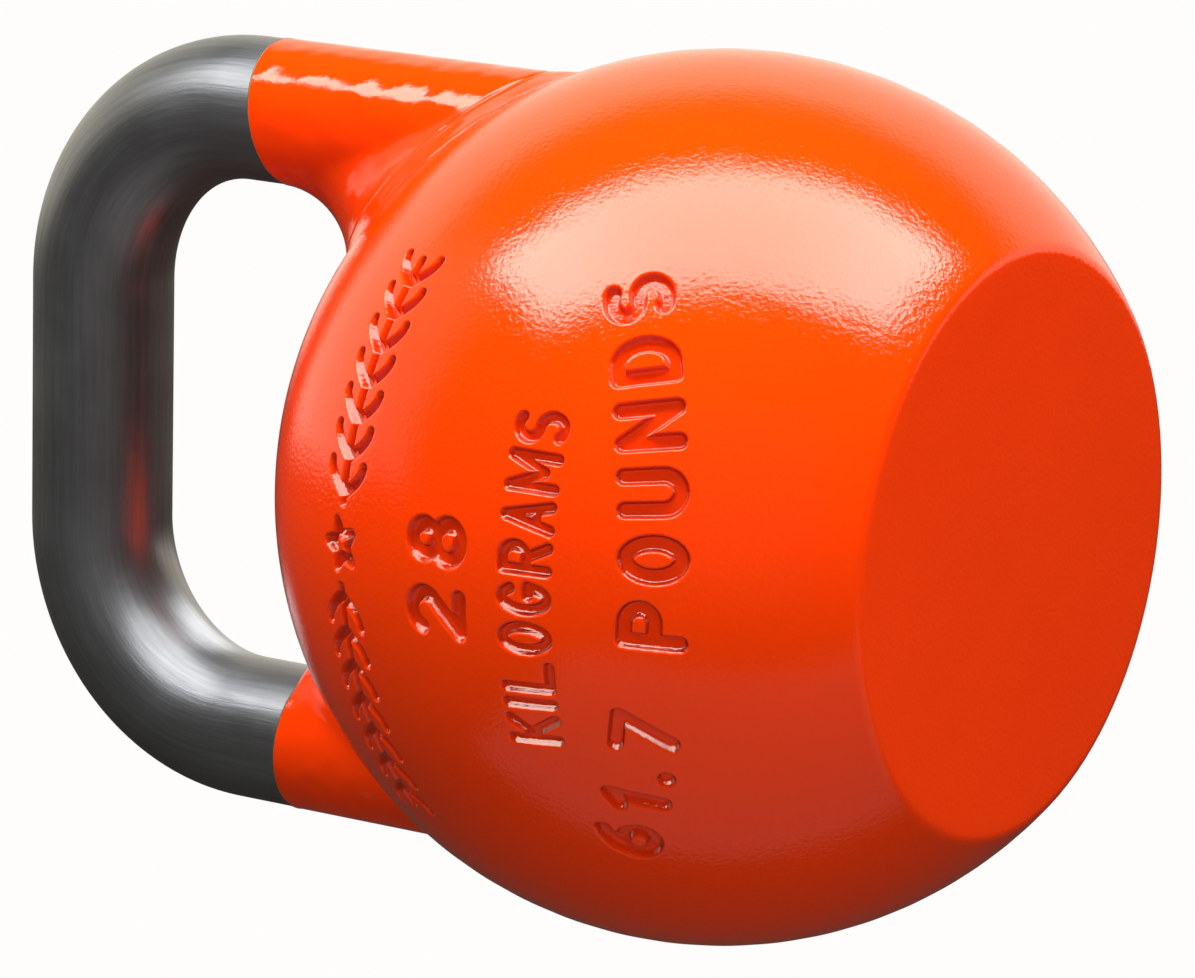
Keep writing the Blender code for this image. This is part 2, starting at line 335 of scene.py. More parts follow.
def grid_mesh(name: str, rows: list[np.ndarray], uv: np.ndarray | None = None) -> bpy.types.Mesh:
    """Skin rows of points that each go once round, and close both ends with a fan.

    Args:
        name: the mesh's name.
        rows: arrays of shape (columns, 3), from the top row down, running anticlockwise seen
            from above.
        uv: metres along and round at each point, shape (rows, columns + 1, 2).

    Returns:
        One closed mesh, facing out, shaded smooth.
    """
    stack = np.array(rows)
    count, columns = stack.shape[:2]
    index = np.arange(count * columns).reshape(count, columns)
    after = np.roll(index, -1, axis=1)
    quads = np.stack([index[:-1], index[1:], after[1:], after[:-1]], -1).reshape(-1, 4)
    first, last = count * columns, count * columns + 1
    points = np.concatenate([stack.reshape(-1, 3), [stack[0].mean(0)], [stack[-1].mean(0)]])
    faces = quads.tolist()
    faces += [(int(a), int(b), first) for a, b in zip(index[0], after[0])]
    faces += [(int(b), int(a), last) for a, b in zip(index[-1], after[-1])]
    mesh = bpy.data.meshes.new(name)
    mesh.from_pydata(points.tolist(), [], faces)
    mesh.shade_smooth()
    if uv is not None:
        layer = mesh.uv_layers.new(name="along_and_round")
        left, right = uv[:, :-1], uv[:, 1:]
        corners = np.stack([left[:-1], left[1:], right[1:], right[:-1]], 2).reshape(-1, 2)
        values = np.zeros((len(mesh.loops), 2))
        values[: len(corners)] = corners
        layer.data.foreach_set("uv", values.ravel())
    mesh.validate()
    return mesh


def place_piece(
    name: str, mesh: bpy.types.Mesh, material: bpy.types.Material, slot: Slot, *nodes: str
) -> bpy.types.Object:
    """Put a finished mesh in the scene in place of the frame's solids.

    Args:
        name: the piece's name.
        mesh: its mesh, in the frame's own coordinates.
        material: its finish.
        slot: the record's slot that the finish belongs to. Not used.
        nodes: the frame's nodes that the piece stands for.

    Returns:
        The piece.
    """
    piece = bpy.data.objects.new(name, mesh)
    bpy.context.scene.collection.objects.link(piece)
    mesh.materials.append(material)
    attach(piece, "root")
    if nodes:
        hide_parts(*nodes)
    log.info("%s: %d faces, stands for %s", name, len(mesh.polygons), ", ".join(nodes) or "-")
    return piece


# --------------------------------------------------------------------------------------------
# Marks


def bow(cx: float, cy: float, rx: float, ry: float, start: float, end: float) -> Stroke:
    """Points along part of an ellipse.

    Args:
        cx: centre across.
        cy: centre up.
        rx: half width.
        ry: half height.
        start: first angle in degrees, anticlockwise from the right.
        end: last angle in degrees.

    Returns:
        The points, one every 15 degrees or closer.
    """
    steps = max(2, ceil(abs(end - start) / 15))
    angles = [radians(start + (end - start) * i / steps) for i in range(steps + 1)]
    return [(cx + rx * cos(a), cy + ry * sin(a)) for a in angles]


class Glyphs:
    """Plain block letters and figures as centre lines, in a box 1 high and `width` wide."""

    NARROW = {"I": 0.0, "1": 0.22, ".": 0.0, " ": 0.35, "M": 0.78}
    WIDTH = 0.6

    @classmethod
    def width(cls, letter: str) -> float:
        """The width of a letter's centre lines, in letter heights."""
        return cls.NARROW.get(letter, cls.WIDTH)

    @classmethod
    def strokes(cls, letter: str) -> list[Stroke]:
        """The centre lines of one letter.

        Args:
            letter: a capital letter, a figure, a point or a space.

        Returns:
            Its strokes, with x from 0 to its width and y from 0 to 1.
        """
        w = cls.width(letter)
        h = w / 2
        ring = bow(h, 0.5, h, 0.5, 90, 450)
        loops = {
            "K": [[(0, 0), (0, 1)], [(w, 1), (0.05, 0.42)], [(0.2, 0.56), (w, 0)]],
            "I": [[(0, 0), (0, 1)]],
            "L": [[(0, 1), (0, 0), (w, 0)]],
            "O": [ring],
            "G": [bow(h, 0.5, h, 0.5, 40, 320) + [(w, 0.42), (0.62 * w, 0.42)]],
            "R": [
                [(0, 0), (0, 1), (0.5 * w, 1)]
                + bow(0.5 * w, 0.74, 0.5 * w, 0.26, 90, -90)
                + [(0, 0.48)],
                [(0.5 * w, 0.48), (w, 0)],
            ],
            "A": [[(0, 0), (h, 1), (w, 0)], [(0.17 * w, 0.32), (0.83 * w, 0.32)]],
            "M": [[(0, 0), (0, 1), (h, 0.25), (w, 1), (w, 0)]],
            "S": [bow(h, 0.76, h, 0.24, 50, 270) + bow(h, 0.26, h, 0.26, 90, -135)],
            "P": [
                [(0, 0), (0, 1), (0.5 * w, 1)]
                + bow(0.5 * w, 0.73, 0.5 * w, 0.27, 90, -90)
                + [(0, 0.46)]
            ],
            "U": [[(0, 1)] + bow(h, 0.3, h, 0.3, 180, 360) + [(w, 1)]],
            "N": [[(0, 0), (0, 1), (w, 0), (w, 1)]],
            "D": [[(0, 0), (0, 1), (0.4 * w, 1)] + bow(0.4 * w, 0.5, 0.6 * w, 0.5, 90, -90)
                  + [(0, 0)]],
            "1": [[(0, 0.78), (w, 1), (w, 0)]],
            "2": [bow(h, 0.72, h, 0.28, 165, -35) + [(0, 0), (w, 0)]],
            "6": [bow(h, 0.3, h, 0.3, 0, 360), bow(0.95 * w, 0.3, 0.95 * w, 0.7, 180, 105)],
            "7": [[(0, 1), (w, 1), (0.3 * w, 0)]],
            "8": [bow(h, 0.76, 0.42 * w, 0.24, 0, 360), bow(h, 0.26, h, 0.26, 0, 360)],
            ".": [[(0, 0), (0, 0.02)]],
            " ": [],
        }
        return loops[letter]


@dataclass
class MarkRow:
    """One row of marks on a circle round an axis that leans in the ball's front plane.

    `axis_lean` is the axis's height in degrees above the front horizon, and `radius` the
    circle's angular radius.  A row's own plane has s along the circle and t towards the axis.
    """

    axis_lean: float
    radius: float
    height_mm: float
    stroke_mm: float
    shift: float = 0.0
    strokes: list[Stroke] = field(default_factory=list)

    def letter(self, text: str, span_mm: float, slim: float = 1.0) -> "MarkRow":
        """Set the row in block letters.

        Args:
            text: what it says.
            span_mm: the whole row's width, over the centre lines.
            slim: how narrow the letters are, as a share of their plain width.

        Returns:
            The row itself.
        """
        widths = [Glyphs.width(c) * self.height_mm * slim for c in text]
        gap = (span_mm - sum(widths)) / (len(text) - 1)
        start = -span_mm / 2
        for character, width in zip(text, widths):
            for stroke in Glyphs.strokes(character):
                self.strokes.append(
                    [
                        (start + x * self.height_mm * slim, (y - 0.5) * self.height_mm)
                        for x, y in stroke
                    ]
                )
            start += width + gap
        return self

    def basis(self) -> np.ndarray:
        """Work out the row's own frame.

        Returns:
            A matrix whose rows point right, out to the front, and along the axis.
        """
        lean = radians(self.axis_lean)
        axis = np.array([0, -cos(lean), sin(lean)])
        right = np.array([1.0, 0, 0])
        return np.array([right, np.cross(axis, right), axis])

    def flatten(self, normals: np.ndarray, ball_mm: float) -> np.ndarray:
        """Lay directions from the ball's centre out in the row's plane.

        Args:
            normals: unit vectors, shape (n, 3).
            ball_mm: the ball's radius.

        Returns:
            (s, t) in millimetres, shape (n, 2).
        """
        local = normals @ self.basis().T
        turn = np.arctan2(local[:, 0], -local[:, 1]) - radians(self.shift)
        fall = np.arccos(np.clip(local[:, 2], -1, 1))
        around = ball_mm * sin(radians(self.radius))
        return np.stack([turn * around, (radians(self.radius) - fall) * ball_mm], 1)

    def raise_up(self, flat: np.ndarray, ball_mm: float) -> np.ndarray:
        """The directions of points of the row's plane: the reverse of flatten.

        Args:
            flat: (s, t) in millimetres.
            ball_mm: the ball's radius.

        Returns:
            Unit vectors, shape (n, 3).
        """
        turn = flat[:, 0] / (ball_mm * sin(radians(self.radius))) + radians(self.shift)
        fall = radians(self.radius) - flat[:, 1] / ball_mm
        local = np.stack(
            [np.sin(fall) * np.sin(turn), -np.sin(fall) * np.cos(turn), np.cos(fall)], 1
        )
        return local @ self.basis()

    def nearest(self, flat: np.ndarray) -> tuple[np.ndarray, np.ndarray]:
        """How far points lie from the edge of the nearest stroke, and the way out.

        Args:
            flat: (s, t) in millimetres.

        Returns:
            Distances, negative inside a stroke, and unit vectors away from its centre line.
        """
        best = np.full(len(flat), 1e9)
        away = np.zeros_like(flat)
        for stroke in self.strokes:
            for a, b in zip(np.array(stroke), np.array(stroke[1:])):
                along = b - a
                share = np.clip((flat - a) @ along / max(along @ along, 1e-9), 0, 1)
                offset = flat - a - share[:, None] * along
                distance = np.linalg.norm(offset, axis=1)
                closer = distance < best
                best[closer] = distance[closer]
                away[closer] = offset[closer] / np.maximum(distance[closer, None], 1e-9)
        return best - self.stroke_mm / 2, away


def laurel_row(pairs: int = 7, length: float = 6.65, gap: float = 8.4) -> MarkRow:
    """Lay out two plain laurel sprigs in an arch, either side of a plain star.

    Args:
        pairs: pairs of leaves on a sprig.
        length: how far a leaf reaches along its sprig, in millimetres.
        gap: from one pair to the next, in millimetres.

    Returns:
        The row, with one stroke for each stem, each leaf and the star.
    """
    row = MarkRow(axis_lean=110, radius=87, height_mm=13, stroke_mm=2.3)
    stem_start, stem_end, first_leaf, leaf_foot, leaf_rise, steps = 10, 68, 12, 0.6, 5.8, 7
    for side in (-1, 1):
        row.strokes.append([(side * stem_start, 0), (side * stem_end, 0)])
        for i in range(pairs):
            root = side * (first_leaf + gap * i)
            for flip in (-1, 1):
                leaf = []
                for share in np.linspace(0, 1, steps + 1):
                    rise = leaf_foot + leaf_rise * sin(pi / 2 * share)
                    leaf.append((root + side * length * share, flip * rise))
                row.strokes.append(leaf)
    star_mm = (5.6, 2.6)
    turns = [radians(90 + 36 * i) for i in range(11)]
    row.strokes.append(
        [(star_mm[i % 2] * cos(turn), star_mm[i % 2] * sin(turn)) for i, turn in enumerate(turns)]
    )
    return row


def mark_rows() -> list[MarkRow]:
    """Every row of marks on the front, from the top down."""
    return [
        laurel_row(),
        MarkRow(90, 84.7, 13.5, 3.6, -0.7).letter("28", 24.5),
        MarkRow(90, 97.6, 11.0, 2.4, 0.3).letter("KILOGRAMS", 75.5, 0.8),
        MarkRow(45.5, 69.5, 12.6, 3.6, 0.8).letter("61.7 POUNDS", 141.0),
    ]


@dataclass
class Debossing:
    """How the marks sink into the ball: sloped walls with edges that paint has rounded."""

    depth_mm: float = 2.2
    rim_mm: float = 0.32
    foot_mm: float = 0.6
    snap_mm: float = 0.13
    rows: list[MarkRow] = field(default_factory=mark_rows)

    def edge_distance(self, normals: np.ndarray, ball_mm: float) -> np.ndarray:
        """Find how far points of the ball are from the walls of the marks.

        Args:
            normals: unit vectors from the ball's centre, shape (n, 3).
            ball_mm: the ball's radius.

        Returns:
            Millimetres to the nearest wall, or a large number far from the marks.
        """
        least = np.full(len(normals), 99.0)
        for row in self.rows:
            flat = row.flatten(normals, ball_mm)
            near = np.abs(flat[:, 1]) < row.height_mm
            if near.any():
                distance = row.nearest(flat[near])[0]
                beyond = np.maximum(distance - self.rim_mm, -self.foot_mm - distance)
                least[near] = np.minimum(least[near], np.maximum(beyond, 0))
        return least

    def sink(self, normals: np.ndarray, ball_mm: float) -> tuple[np.ndarray, np.ndarray]:
        """Find how deep the marks are at points of the ball.

        Points close to an edge of a recess are first slid on to it, so that the edge is crisp.

        Args:
            normals: unit vectors from the ball's centre, shape (n, 3).
            ball_mm: the ball's radius.

        Returns:
            The unit vectors, some slid along the surface, and the depth at each in millimetres.
        """
        moved = normals.copy()
        depth = np.zeros(len(normals))
        for row in self.rows:
            flat = row.flatten(normals, ball_mm)
            near = np.abs(flat[:, 1]) < row.height_mm
            if not near.any():
                continue
            inside = flat[near]
            distance, away = row.nearest(inside)
            for edge in (self.rim_mm, -self.foot_mm):
                close = np.abs(distance - edge) < self.snap_mm
                inside[close] -= away[close] * (distance[close] - edge)[:, None]
                distance[close] = edge
            share = np.clip((self.rim_mm - distance) / (self.rim_mm + self.foot_mm), 0, 1)
            sunk = self.depth_mm * share * share * (3 - 2 * share)
            deeper = sunk > depth[near]
            where = np.flatnonzero(near)
            slid = row.raise_up(inside, ball_mm)
            touched = where[distance < self.rim_mm + self.snap_mm]
            moved[touched] = slid[distance < self.rim_mm + self.snap_mm]
            depth[where[deeper]] = sunk[deeper]
        return moved, depth


# --------------------------------------------------------------------------------------------
# The kettlebell


@dataclass
class Ball:
    """The ball with its flat base and its marked front."""

    radius: float
    centre_height: float
    edge_radius: float = 5.0 * MM
    front_span: tuple[float, float] = (-44.0, 45.0)
    front_rise: tuple[float, float] = (-31.0, 28.5)
    front_step: float = 0.68
    cuts: int = 3
    wall_reach: float = 0.75
    on_ball_share: float = 0.9995
    front_limit: float = 0.3
    # painted shade in the marks: how strongly, where and at most how much the paint darkens on
    # their walls
    pool_strength: float = 2.6
    pool_share: float = 1.1
    pool_most: float = 0.7
    coarse_step: float = 3.5
    debossing: Debossing = field(default_factory=Debossing)

    @classmethod
    def from_frame(cls) -> "Ball":
        """Read the ball's size and place from the frame's shell.

        Returns:
            A ball of the frame's radius and height.
        """
        low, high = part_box("ball_shell")
        radius = (high.x - low.x) / 2
        return cls(radius=radius, centre_height=high.z - radius)

    def turns(self) -> np.ndarray:
        """Choose the columns of the ball's mesh, close together across the marks.

        Returns:
            Angles round the ball from its front towards +X.
        """
        start, end = self.front_span
        fine = np.arange(start, end, self.front_step)
        coarse = np.arange(end, start + 360, self.coarse_step)
        return np.radians(np.concatenate([fine, coarse]))

    def rises(self) -> np.ndarray:
        """Choose the rows of the ball's mesh, close together across the marks.

        Returns:
            Angles above the equator, from the top down to where the base's edge starts.
        """
        low, high = self.front_rise
        top = np.arange(90 - self.coarse_step / 2, high, -self.coarse_step / 2)
        fine = np.arange(high, low, -self.front_step)
        edge = degrees(self.edge_start())
        bottom = np.linspace(low, edge, 10)
        return np.radians(np.concatenate([top, fine, bottom]))

    def edge_start(self) -> float:
        """The angle, below the equator, where the base's rounded edge leaves the ball."""
        drop = self.centre_height - self.edge_radius
        return -atan2(drop, sqrt((self.radius - self.edge_radius) ** 2 - drop**2))

    def build(self) -> bpy.types.Mesh:
        """Make the ball's mesh, with its marks sunk in.

        Returns:
            One closed mesh.
        """
        turns, rises = self.turns(), self.rises()
        turn, rise = np.meshgrid(turns, rises)
        normals = np.stack(
            [np.sin(turn) * np.cos(rise), -np.cos(turn) * np.cos(rise), np.sin(rise)], -1
        )
        centre = np.array([0, 0, self.centre_height])
        rows = list(centre + normals * self.radius) + self.base_rows(turns)
        mesh = grid_mesh("ball", rows)
        self.emboss(mesh, centre)
        return mesh

    def emboss(self, mesh: bpy.types.Mesh, centre: np.ndarray) -> None:
        """Cut the faces along the marks' edges finer and sink the marks in.

        Args:
            mesh: the plain ball, changed in place.
            centre: the ball's centre.
        """
        radius_mm = self.radius / MM
        form = bmesh.new()
        form.from_mesh(mesh)
        normals, on_ball = self.seen_from(centre, form)
        reach_mm = radians(self.front_step) * radius_mm * self.wall_reach
        near = on_ball & (self.debossing.edge_distance(normals, radius_mm) < reach_mm)
        busy = {
            face.index
            for face in form.faces
            if len(face.verts) == 4 and any(near[vert.index] for vert in face.verts)
        }
        picked = [
            edge for edge in form.edges if any(face.index in busy for face in edge.link_faces)
        ]
        bmesh.ops.subdivide_edges(form, edges=picked, cuts=self.cuts, use_grid_fill=True)
        normals, on_ball = self.seen_from(centre, form)
        moved, depth_mm = self.debossing.sink(normals[on_ball], radius_mm)
        sunk = centre + moved * (self.radius - depth_mm * MM)[:, None]
        form.verts.ensure_lookup_table()
        for index, place in zip(np.flatnonzero(on_ball), sunk):
            form.verts[int(index)].co = place
        form.to_mesh(mesh)
        form.free()
        # painted shade: darkest on the recess walls, a little on their floors, none on the ball's
        # face
        share = depth_mm / self.debossing.depth_mm
        pooled = np.zeros(len(mesh.vertices))
        pooled[on_ball] = np.clip(
            share * (self.pool_share - share) * self.pool_strength, 0, self.pool_most
        )
        mesh.attributes.new(MARK_SHADE_ATTRIBUTE, "FLOAT", "POINT").data.foreach_set("value", pooled)

    def seen_from(
        self, centre: np.ndarray, form: bmesh.types.BMesh
    ) -> tuple[np.ndarray, np.ndarray]:
        """Look at the mesh's points from the ball's centre.

        Args:
            centre: the ball's centre.
            form: the mesh.

        Returns:
            The unit vector to each point, and whether the point is on the ball's front.
        """
        points = np.array([vert.co for vert in form.verts]) - centre
        length = np.linalg.norm(points, axis=1)
        normals = points / length[:, None]
        on_ball = (length > self.radius * self.on_ball_share) & (normals[:, 1] < -self.front_limit)
        return normals, on_ball

    def base_rows(self, turns: np.ndarray) -> list[np.ndarray]:
        """The rows of the rounded edge and of the flat base.

        Args:
            turns: the angles of the columns.

        Returns:
            Rows of points from the ball's side in to the middle of the base.
        """
        start = self.edge_start()
        middle_r = (self.radius - self.edge_radius) * cos(start)
        angles = np.linspace(start, -pi / 2, 9)[1:]
        outline = [
            (middle_r + self.edge_radius * cos(a), self.edge_radius * (1 + sin(a))) for a in angles
        ]
        outline += [(middle_r * share, 0.0) for share in (0.96, 0.85, 0.7, 0.5, 0.3, 0.1)]
        return [
            np.stack([r * np.sin(turns), -r * np.cos(turns), np.full(len(turns), z)], 1)
            for r, z in outline
        ]

    def dress(self, paint: bpy.types.Material) -> None:
        """Build the ball and put it in place of its shell and plug."""
        place_piece("ball", self.build(), paint, Slot.PAINT, "ball_shell", "base_plug", "plug_weld")


@dataclass
class Horn:
    """One painted horn: an upright round stem that flares on to the ball, with its weld band."""

    side: Side
    ball: Ball
    offset: float
    stem_radius: float
    paint_line: float
    paint_tilt: float
    flare_radius: float = 26.0 * MM
    paint_thickness: float = 0.15 * MM
    band_top: float = 3.9 * MM
    toe: float = 0.22 * MM
    lead_in: float = 2.5 * MM
    crown: float = 0.30 * MM
    upper_score: tuple[float, float] = (0.34 * MM, 0.55 * MM)
    second_score: tuple[float, float] = (0.16 * MM, 0.4 * MM)
    score_gap: float = 1.9 * MM
    seam_radius: float = 0.2 * MM
    seam_sides: int = 8
    stations: int = 180
    upright_points: int = 26
    band_points: int = 30

    def slice_radius(self, turn: float, height: float) -> float:
        """The radius, in the upright plane at this turn, of a sphere this far off the ball."""
        return sqrt((self.ball.radius + height) ** 2 - (self.offset * sin(turn)) ** 2)

    def outline(self, turn: float) -> list[Point2]:
        """The horn's outline in one upright plane through its axis.

        Args:
            turn: the plane's angle from the way out of the handle.

        Returns:
            Points (r, z), z from the ball's centre, from the paint line to inside the ball.
        """
        shift = -self.offset * cos(turn)
        near = self.slice_radius(turn, 0)
        radius = self.stem_radius + self.paint_thickness
        centre_r = radius + self.flare_radius
        reach = near + self.flare_radius
        centre_z = sqrt(reach**2 - (centre_r - shift) ** 2)
        tangent = atan2(centre_z, centre_r - shift)
        top = self.paint_line - self.ball.centre_height + self.paint_tilt * cos(turn) * radius

        def length_to(height: float) -> float:
            """Measure the outline down to a height above the ball.

            Args:
                height: the height above the ball.

            Returns:
                The length of outline from `top` down to there.
            """
            sphere = self.slice_radius(turn, height)
            cosine = (reach**2 + self.flare_radius**2 - sphere**2) / (2 * reach * self.flare_radius)
            angle = tangent - acos(min(1.0, cosine))
            if angle > 0:
                return top - centre_z + self.flare_radius * angle
            return top - sqrt(sphere**2 - (radius - shift) ** 2)

        def at(length: float, lift: float) -> Point2:
            """Find a point of the outline, or one just off it.

            Args:
                length: how far down the outline from `top`.
                lift: how far off it.

            Returns:
                The point (r, z).
            """
            angle = (length - top + centre_z) / self.flare_radius
            if angle <= 0:
                return radius + lift, top - length
            out = self.flare_radius - lift
            return centre_r - out * cos(angle), centre_z - out * sin(angle)

        lip = [
            (self.stem_radius - 0.4 * MM, top - 0.02 * MM),
            (self.stem_radius + 0.02 * MM, top),
            (radius - 0.03 * MM, top - 0.04 * MM),
            (radius, top - 0.14 * MM),
        ]
        band_start, band_end = length_to(self.band_top), length_to(self.toe)
        lead = band_start - self.lead_in
        stem = [
            at(0.3 * MM + (lead - 0.3 * MM) * i / self.upright_points, 0)
            for i in range(self.upright_points)
        ]
        band = []
        for i in range(self.band_points + 1):
            length = lead + (band_end - lead) * i / self.band_points
            band.append(at(length, self.ripple(length - band_start, band_end - band_start, turn)))
        last = band[-1]
        away = Vector((last[0] - shift, last[1])).normalized()
        buried = []
        for depth, share in ((0.25 * MM, 1.0), (2.0 * MM, 0.93), (4.0 * MM, 0.55)):
            place = away * self.slice_radius(turn, -depth)
            buried.append(((shift + place.x) * share, place.y - (1 - share) * 4 * MM))
        return lip + stem + band + buried

    def ripple(self, length: float, width: float, turn: float) -> float:
        """How far the dressed weld stands off the plain flare.

        Args:
            length: how far below the band's upper toe.
            width: the band's width along the outline.
            turn: the plane's angle, which varies the grinding a little.

        Returns:
            The lift: a shallow crown between a scored line at each toe.
        """
        share = length / width
        crown = self.crown * sin(pi * min(max(share, 0.0), 1.0)) ** 2
        wander = 0.06 * MM * sin(5 * turn + 1.0) + 0.05 * MM * sin(11 * turn)
        upper_depth, upper_width = self.upper_score
        second_depth, second_width = self.second_score
        upper = -upper_depth * np.exp(-((length / upper_width) ** 2))
        second = -second_depth * np.exp(-(((length - self.score_gap) / second_width) ** 2))
        fade = min(max((share + 0.25) * 4, 0.0), 1.0) * min(max((1 - share) * 6, 0.0), 1.0)
        return float((crown + wander + upper + second) * fade)

    def build(self) -> bpy.types.Mesh:
        """Make the horn's mesh.

        Returns:
            One closed mesh, its foot buried in the ball.
        """
        turns = [2 * pi * i / self.stations for i in range(self.stations)]
        outlines = [self.outline(turn) for turn in turns]
        carry = np.array(Matrix.Rotation(self.side.value, 3, "Z"))
        rows = []
        for level in zip(*outlines):
            row = np.array(
                [
                    (self.offset + r * cos(turn), r * sin(turn), self.ball.centre_height + z)
                    for turn, (r, z) in zip(turns, level)
                ]
            )
            rows.append(row @ carry.T)
        return grid_mesh(f"{self.side.label}_painted_horn", rows)

    def edge_line(self) -> bpy.types.Mesh:
        """Make the thin dark seam where the paint's edge meets the bare bar.

        Returns:
            One closed ring that follows the tilted paint line.
        """
        radius = self.stem_radius + 0.05 * MM
        carry = Matrix.Rotation(self.side.value, 3, "Z")
        corners = [2 * pi * k / self.seam_sides for k in range(self.seam_sides)]
        bm = bmesh.new()
        rings = []
        for turn in [2 * pi * i / self.stations for i in range(self.stations)]:
            z = self.paint_line + self.paint_tilt * cos(turn) * radius + 0.1 * MM
            ring = []
            for corner in corners:
                r = radius + self.seam_radius * cos(corner)
                place = Vector((self.offset + r * cos(turn), r * sin(turn), z))
                place.z += self.seam_radius * sin(corner)
                ring.append(bm.verts.new(carry @ place))
            rings.append(ring)
        for ring, after in zip(rings, rings[1:] + rings[:1]):
            for k in range(self.seam_sides):
                j = (k + 1) % self.seam_sides
                bm.faces.new((ring[k], after[k], after[j], ring[j]))
        mesh = bpy.data.meshes.new(f"{self.side.label}_paint_edge")
        bm.to_mesh(mesh)
        bm.free()
        mesh.shade_smooth()
        return mesh

    def dress(self, paint: bpy.types.Material, seam: bpy.types.Material) -> None:
        """Build the horn and put it in place of its casting and foot weld.

        Args:
            paint: the horn's enamel.
            seam: the finish of the paint's masked edge.
        """
        label = self.side.label
        place_piece(f"{label}_paint_edge", self.edge_line(), seam, Slot.PAINT)
        place_piece(
            f"{label}_painted_horn", self.build(), paint, Slot.PAINT, f"{label}_horn",
            f"{label}_foot_weld",
        )


@dataclass
class Grip:
    """The bare steel handle from paint line to paint line, in one round bend after another."""

    radius: float
    offset: float
    height: float
    feet: tuple[float, float]
    bend_radius: float = 47.5 * MM
    stations: int = 120
    step: float = 1.6 * MM

    def route(self) -> list[tuple[float, float, float]]:
        """The centre line from the left foot over to the right one.

        Returns:
            Points (x, z, heading), heading being the angle of travel from +X towards +Z.
        """
        bend_height = self.height - self.bend_radius
        straight = self.offset - self.bend_radius
        quarter = ceil(self.bend_radius * pi / 2 / self.step)
        turn = [pi / 2 * i / quarter for i in range(quarter + 1)]
        route = [(-self.offset, self.feet[0], pi / 2)]
        route += [
            (
                -straight - self.bend_radius * cos(a),
                bend_height + self.bend_radius * sin(a),
                pi / 2 - a,
            )
            for a in turn
        ]
        route += [
            (straight + self.bend_radius * sin(a), bend_height + self.bend_radius * cos(a), -a)
            for a in turn
        ]
        route.append((self.offset, self.feet[1], -pi / 2))
        return self.filled(route)

    def filled(self, route: list[tuple[float, float, float]]) -> list[tuple[float, float, float]]:
        """Add points to the straight stretches.

        Args:
            route: the centre line's own points.

        Returns:
            The same line with no gap longer than a few steps.
        """
        full = [route[0]]
        for a, b in zip(route, route[1:]):
            gap = sqrt((b[0] - a[0]) ** 2 + (b[1] - a[1]) ** 2)
            parts = max(1, round(gap / (2 * self.step)))
            full += [
                tuple(a[k] + (b[k] - a[k]) * i / parts for k in range(3))
                for i in range(1, parts + 1)
            ]
        return full

    def build(self) -> bpy.types.Mesh:
        """Make the bar's mesh, with the lengths that its streaks follow.

        Returns:
            One closed mesh.
        """
        route = self.route()
        around = [2 * pi * i / self.stations for i in range(self.stations + 1)]
        rows, lengths, travelled = [], [], 0.0
        for k, (x, z, heading) in enumerate(route):
            if k:
                travelled += sqrt((x - route[k - 1][0]) ** 2 + (z - route[k - 1][1]) ** 2)
            out = (-sin(heading), cos(heading))
            rows.append(
                np.array(
                    [
                        (
                            x + self.radius * cos(a) * out[0],
                            self.radius * sin(a),
                            z + self.radius * cos(a) * out[1],
                        )
                        for a in around[:-1]
                    ]
                )
            )
            lengths.append([(travelled, a * self.radius) for a in around])
        return grid_mesh("bare_grip", rows, np.array(lengths))

    def dress(self, steel: bpy.types.Material) -> None:
        """Build the grip and put it in place of the bar and the two flush bar welds."""
        place_piece(
            "bare_grip", self.build(), steel, Slot.STEEL, "grip_bar", "left_bar_weld",
            "right_bar_weld",
        )


# --------------------------------------------------------------------------------------------
# The studio


def soft_edges(
    tree: bpy.types.NodeTree, *edges: tuple[bpy.types.NodeSocket, float, float, float, float]
) -> bpy.types.NodeSocket:
    """Multiply smooth steps together.

    Args:
        tree: the node tree.
        edges: each step's source, where it starts and ends, and its levels there.

    Returns:
        The product.
    """
    product = None
    for source, start, end, first, last in edges:
        step = add_node(
            tree, "ShaderNodeMapRange", {"interpolation_type": "SMOOTHSTEP"}, {0: source},
            {1: start, 2: end, 3: first, 4: last},
        ).outputs[0]
        product = step if product is None else add_node(
            tree, "ShaderNodeMath", {"operation": "MULTIPLY"}, {0: product, 1: step}
        ).outputs[0]
    return product


@dataclass(frozen=True)
class StudioAxes:
    """The studio's own directions: the lamp hangs along `up`, the viewer stands along `front`."""

    right: Vector = Vector((0.0222, 0.5521, -0.8335))
    up: Vector = Vector((0.9757, 0.1699, 0.1385))
    front: Vector = Vector((0.2181, -0.8163, -0.5350))

    def place(self, right: float, up: float, front: float) -> Vector:
        """A direction or an offset from its three parts."""
        return self.right * right + self.up * up + self.front * front


@dataclass(frozen=True)
class Camera:
    """A long lens that looks up at the ball's front and base, rolled on its side."""

    target: Vector = Vector((0.0012, -0.0159, 0.1043))
    distance: float = 1.5814
    azimuth: float = 14.957
    elevation: float = -32.341
    roll: float = 80.565
    lens_mm: float = 203.21

    def build(self) -> None:
        """Make the camera and hand it to the scene."""
        data = bpy.data.cameras.new("camera")
        data.lens, data.sensor_width = self.lens_mm, 36.0
        data.clip_start, data.clip_end = 0.05, 50.0
        obj = bpy.data.objects.new("camera", data)
        bpy.context.scene.collection.objects.link(obj)
        a, e, r = radians(self.azimuth), radians(self.elevation), radians(self.roll)
        back = Vector((sin(a) * cos(e), -cos(a) * cos(e), sin(e)))
        level = Vector((0, 0, 1))
        upright = (level - back * level.dot(back)).normalized()
        side = (-back).cross(upright)
        up = upright * cos(r) + side * sin(r)
        right = (-back).cross(up)
        obj.matrix_world = Matrix.Translation(self.target + back * self.distance) @ Matrix(
            (right, up, back)
        ).transposed().to_4x4()
        bpy.context.scene.camera = obj


